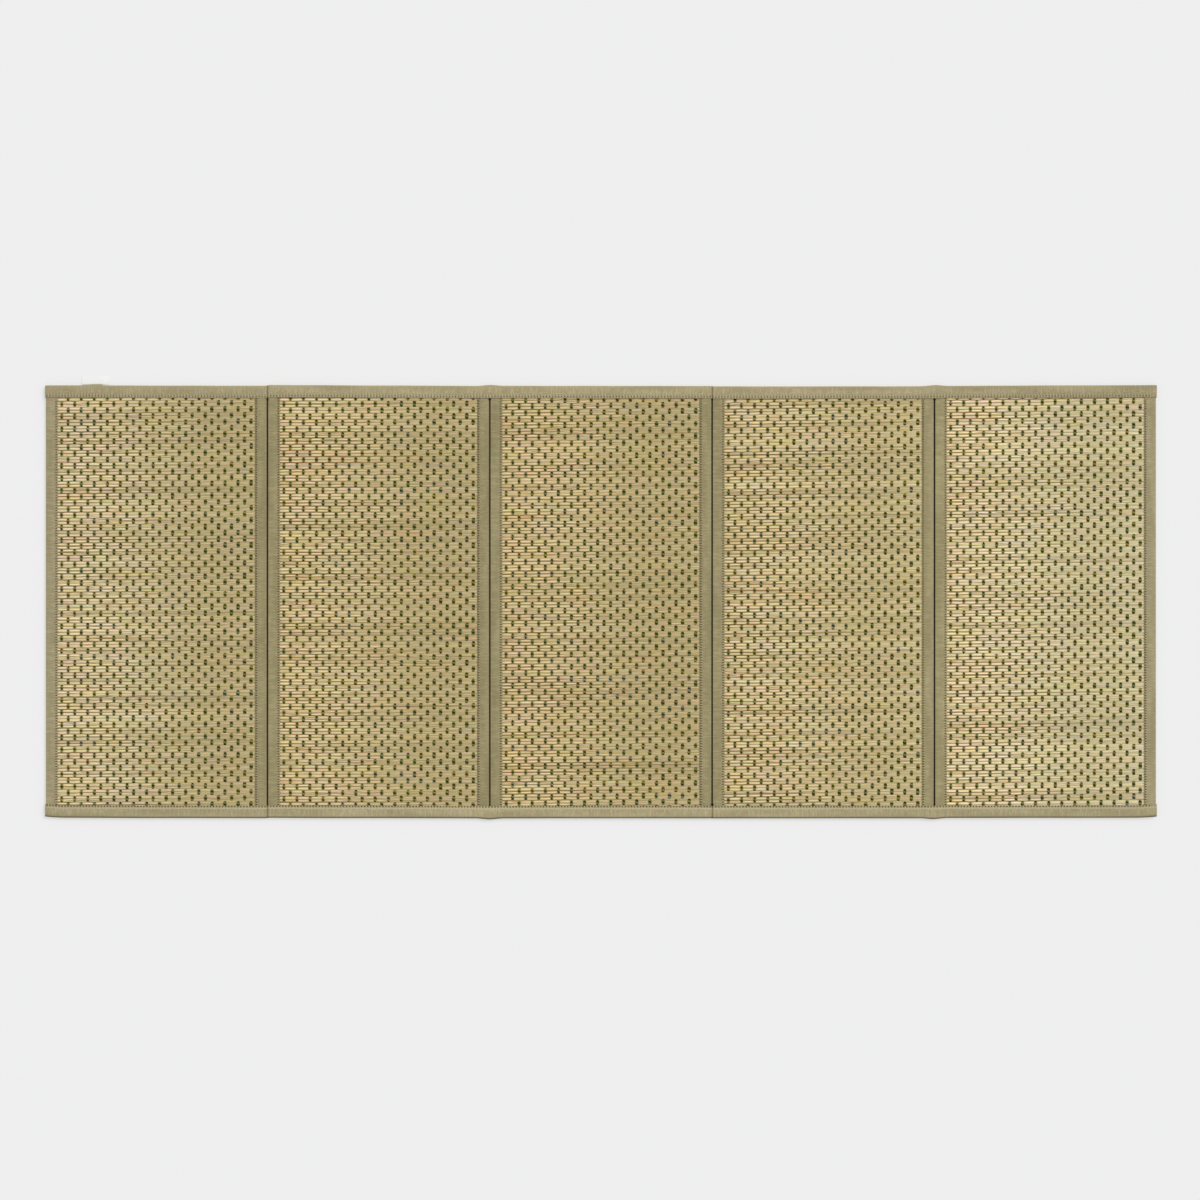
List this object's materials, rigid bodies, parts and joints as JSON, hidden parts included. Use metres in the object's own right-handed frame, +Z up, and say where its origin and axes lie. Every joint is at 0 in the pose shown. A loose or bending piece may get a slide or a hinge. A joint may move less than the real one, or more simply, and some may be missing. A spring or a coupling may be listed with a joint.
{
  "type": "folding rush mat",
  "caption": "Long flat mat of woven rush panels, bound with ribbon on every edge and made to fold up between the panels. It lies on a floor to sit or sleep on.",
  "frame": {"origin": "On the floor under the middle of the mat, at the underside of the middle panel.", "axes": "+X runs along the row of panels, towards the end that is on the right in the picture. +Y points to the back edge, the one with the label. +Z is up, away from the floor."},
  "size_m": [1.8, 0.7181, 0.0085],
  "materials": {
    "rush": "woven dry rush in yellow and green",
    "binding": "matt khaki ribbon with a fine rib",
    "label": "plain white card, blank"
  },
  "bodies": {
    "root": {"rush_panel_1": "rush", "rush_panel_2": "rush", "rush_panel_3": "rush", "rush_panel_4": "rush", "rush_panel_5": "rush", "side_binding_1_left": "binding", "side_binding_1_right": "binding", "side_binding_2_left": "binding", "side_binding_2_right": "binding", "side_binding_3_left": "binding", "side_binding_3_right": "binding", "side_binding_4_left": "binding", "side_binding_4_right": "binding", "side_binding_5_left": "binding", "side_binding_5_right": "binding", "long_binding_back": "binding", "long_binding_front": "binding", "care_label": "label"}
  },
  "joints": []
}
